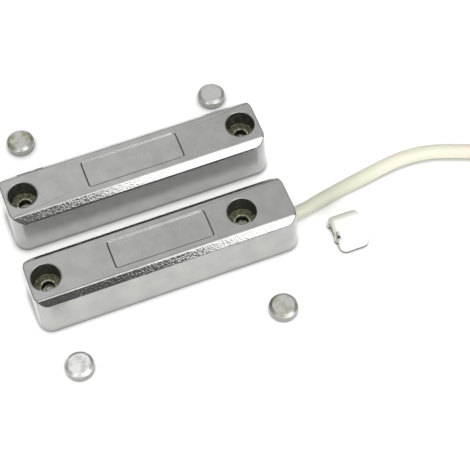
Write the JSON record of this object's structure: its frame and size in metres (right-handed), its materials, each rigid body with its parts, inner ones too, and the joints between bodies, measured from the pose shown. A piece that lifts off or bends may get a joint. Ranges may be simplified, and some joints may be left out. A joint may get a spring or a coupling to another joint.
{
  "type": "wired magnetic door contact set",
  "caption": "Surface-mount magnetic door contact: cast switch unit with a free cable, matching magnet unit, caps for the screw holes and a cable clip, laid out as supplied.",
  "frame": {"origin": "midway between the switch unit's two screw holes, on the plane that it is mounted on", "axes": "+X along the housings towards the cable, +Y from the switch unit to the magnet unit, +Z away from the mounting surface"},
  "size_m": [0.2209, 0.0924, 0.016],
  "materials": {
    "cast_metal": "die cast, fine bead-blasted skin",
    "turned_metal": "fine turned",
    "white_nylon": "moulded, satin",
    "cable_sheath": "soft PVC, off-white, semi-matt",
    "core_white": "PVC insulation",
    "core_brown": "PVC insulation",
    "core_green": "PVC insulation",
    "core_yellow": "PVC insulation",
    "tinned_copper": "tinned strands",
    "tie_nylon": "natural nylon",
    "potting_resin": "cast epoxy, black",
    "circuit_board": "glass-epoxy laminate",
    "reed_glass": "sealed glass tube",
    "reed_metal": "nickel-iron, plated",
    "solder": "tin solder",
    "magnet": "sintered magnet bar"
  },
  "bodies": {
    "root": {"bar_magnet": "magnet", "cable_clip": "white_nylon", "cable_coil": "cable_sheath", "cable_run": "cable_sheath", "cable_sheath_inside": "cable_sheath", "cable_tail": "cable_sheath", "circuit_board": "circuit_board", "coil_tie": "tie_nylon", "core_brown_inside": "core_brown", "core_brown_tail": "core_brown", "core_green_inside": "core_green", "core_green_tail": "core_green", "core_white_inside": "core_white", "core_white_tail": "core_white", "core_yellow_inside": "core_yellow", "core_yellow_tail": "core_yellow", "hole_cap_1": "turned_metal", "hole_cap_2": "turned_metal", "hole_cap_3": "turned_metal", "hole_cap_4": "turned_metal", "magnet_housing": "cast_metal", "magnet_resin": "potting_resin", "reed_blade_left": "reed_metal", "reed_blade_right": "reed_metal", "reed_glass": "reed_glass", "solder_joints": "solder", "strain_relief_tie": "tie_nylon", "switch_housing": "cast_metal", "switch_resin": "potting_resin", "tinned_ends": "tinned_copper"}
  },
  "joints": []
}
